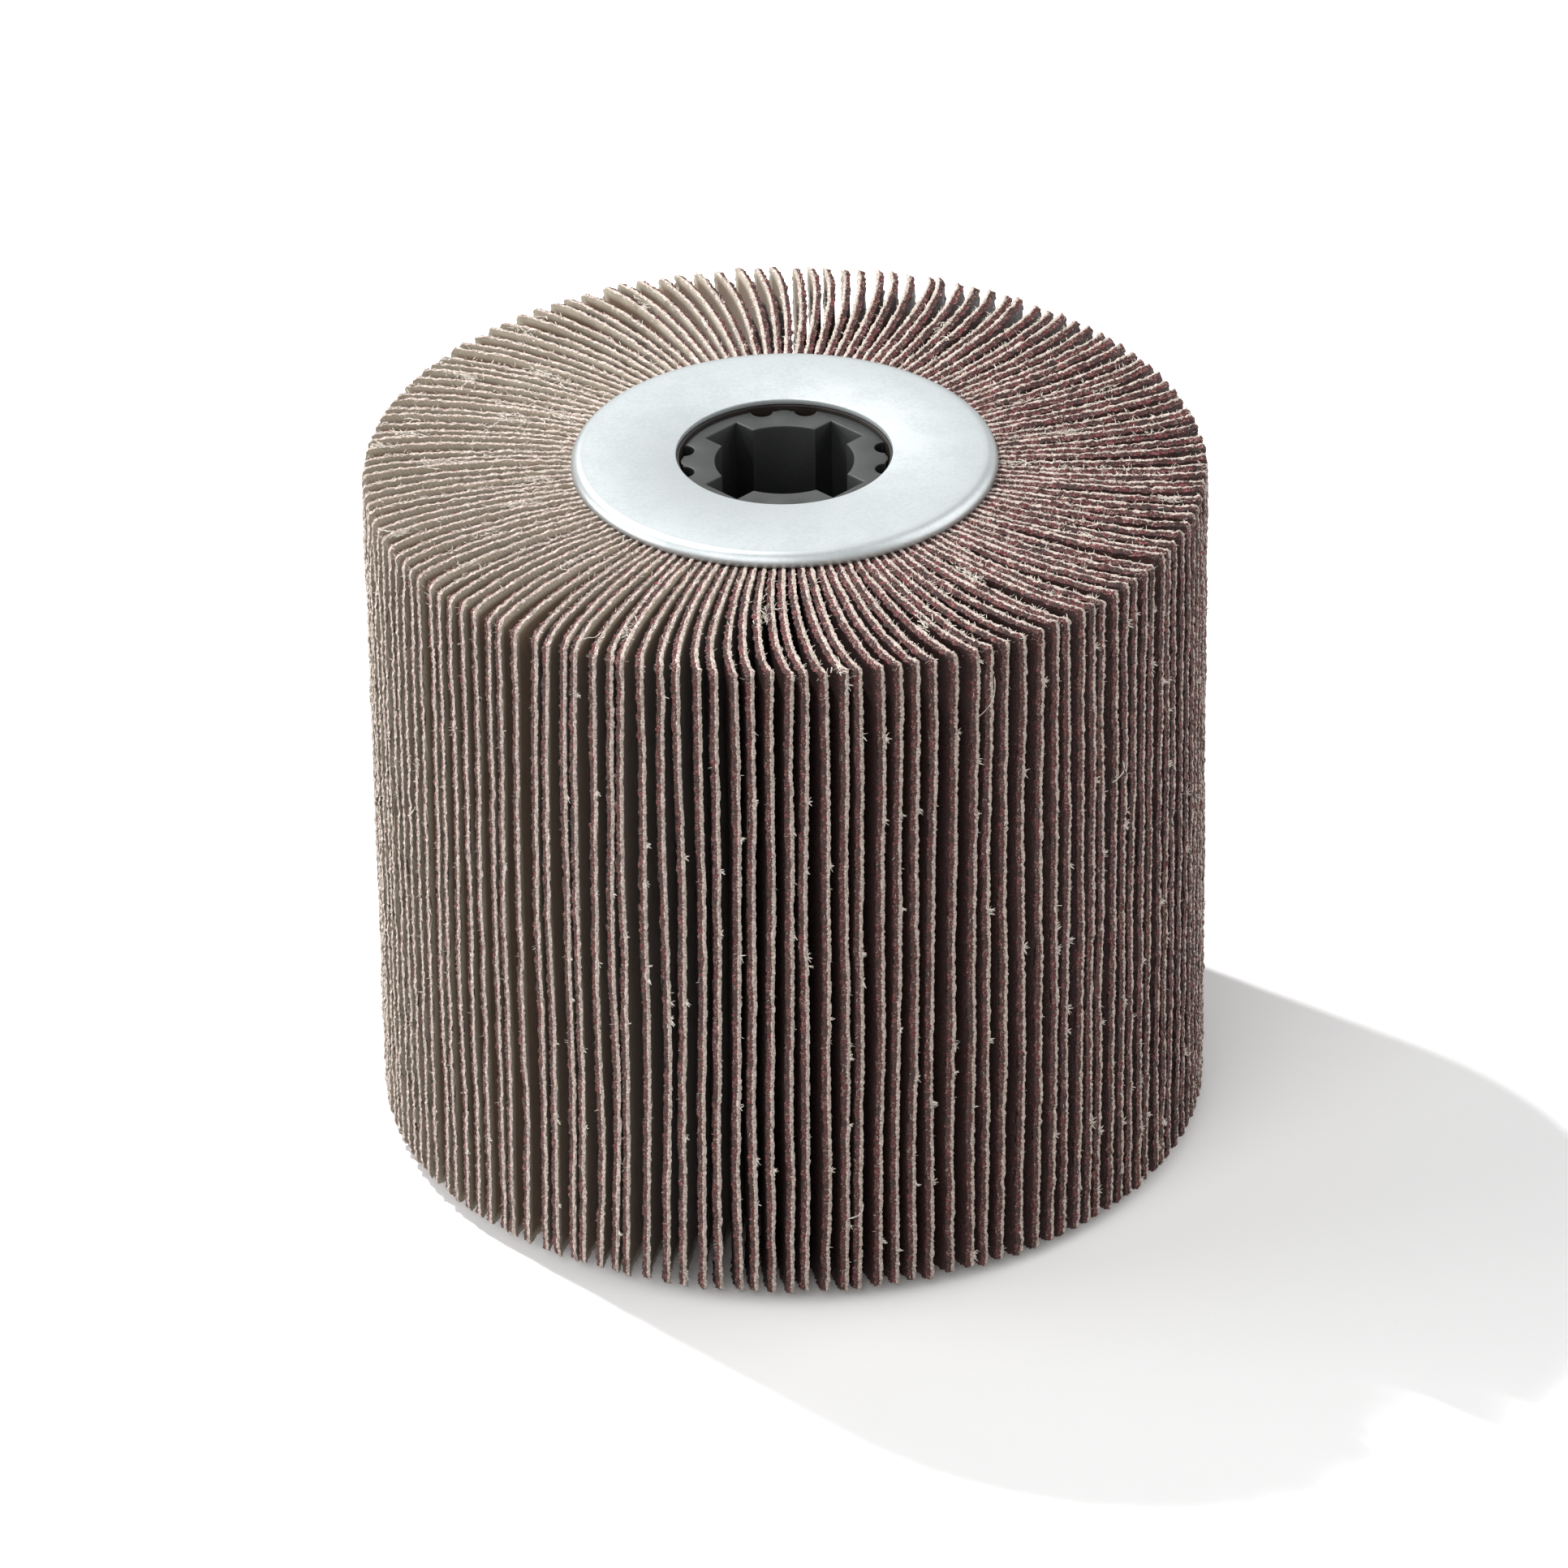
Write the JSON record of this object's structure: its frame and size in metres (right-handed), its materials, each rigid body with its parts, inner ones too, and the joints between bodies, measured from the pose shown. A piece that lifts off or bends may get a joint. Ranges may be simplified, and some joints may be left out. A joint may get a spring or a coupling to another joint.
{
  "type": "flap wheel",
  "caption": "Abrasive flap wheel: radial coated-cloth flaps set in resin round a keyed core, between two pressed washers.",
  "frame": {"origin": "centre of the lower washer's outer face, on which the wheel stands", "axes": "+Z along the bore axis, -Y towards the side that the picture shows, +X to its right"},
  "size_m": [0.115, 0.115, 0.1012],
  "materials": {
    "moulded_nylon": "matte",
    "cast_resin": "matte",
    "zinc_plated_steel": "satin zinc plating",
    "coated_abrasive_cloth": "rough woven backing with a dark red mineral coat"
  },
  "bodies": {
    "root": {"core": "moulded_nylon", "bond_ring": "cast_resin", "washer_bottom": "zinc_plated_steel", "washer_top": "zinc_plated_steel", "flaps_01": "coated_abrasive_cloth", "flaps_02": "coated_abrasive_cloth", "flaps_03": "coated_abrasive_cloth", "flaps_04": "coated_abrasive_cloth", "flaps_05": "coated_abrasive_cloth", "flaps_06": "coated_abrasive_cloth", "flaps_07": "coated_abrasive_cloth", "flaps_08": "coated_abrasive_cloth", "flaps_09": "coated_abrasive_cloth", "flaps_10": "coated_abrasive_cloth", "flaps_11": "coated_abrasive_cloth", "flaps_12": "coated_abrasive_cloth", "flaps_13": "coated_abrasive_cloth", "flaps_14": "coated_abrasive_cloth", "flaps_15": "coated_abrasive_cloth", "flaps_16": "coated_abrasive_cloth", "flaps_17": "coated_abrasive_cloth", "flaps_18": "coated_abrasive_cloth", "flaps_19": "coated_abrasive_cloth", "flaps_20": "coated_abrasive_cloth", "flaps_21": "coated_abrasive_cloth", "flaps_22": "coated_abrasive_cloth", "flaps_23": "coated_abrasive_cloth", "flaps_24": "coated_abrasive_cloth", "flaps_25": "coated_abrasive_cloth", "flaps_26": "coated_abrasive_cloth", "flaps_27": "coated_abrasive_cloth", "flaps_28": "coated_abrasive_cloth", "flaps_29": "coated_abrasive_cloth", "flaps_30": "coated_abrasive_cloth", "flaps_31": "coated_abrasive_cloth", "flaps_32": "coated_abrasive_cloth", "flaps_33": "coated_abrasive_cloth", "flaps_34": "coated_abrasive_cloth", "flaps_35": "coated_abrasive_cloth", "flaps_36": "coated_abrasive_cloth", "flaps_37": "coated_abrasive_cloth", "flaps_38": "coated_abrasive_cloth", "flaps_39": "coated_abrasive_cloth", "flaps_40": "coated_abrasive_cloth", "flaps_41": "coated_abrasive_cloth", "flaps_42": "coated_abrasive_cloth", "flaps_43": "coated_abrasive_cloth", "flaps_44": "coated_abrasive_cloth", "flaps_45": "coated_abrasive_cloth", "flaps_46": "coated_abrasive_cloth", "flaps_47": "coated_abrasive_cloth", "flaps_48": "coated_abrasive_cloth"}
  },
  "joints": []
}
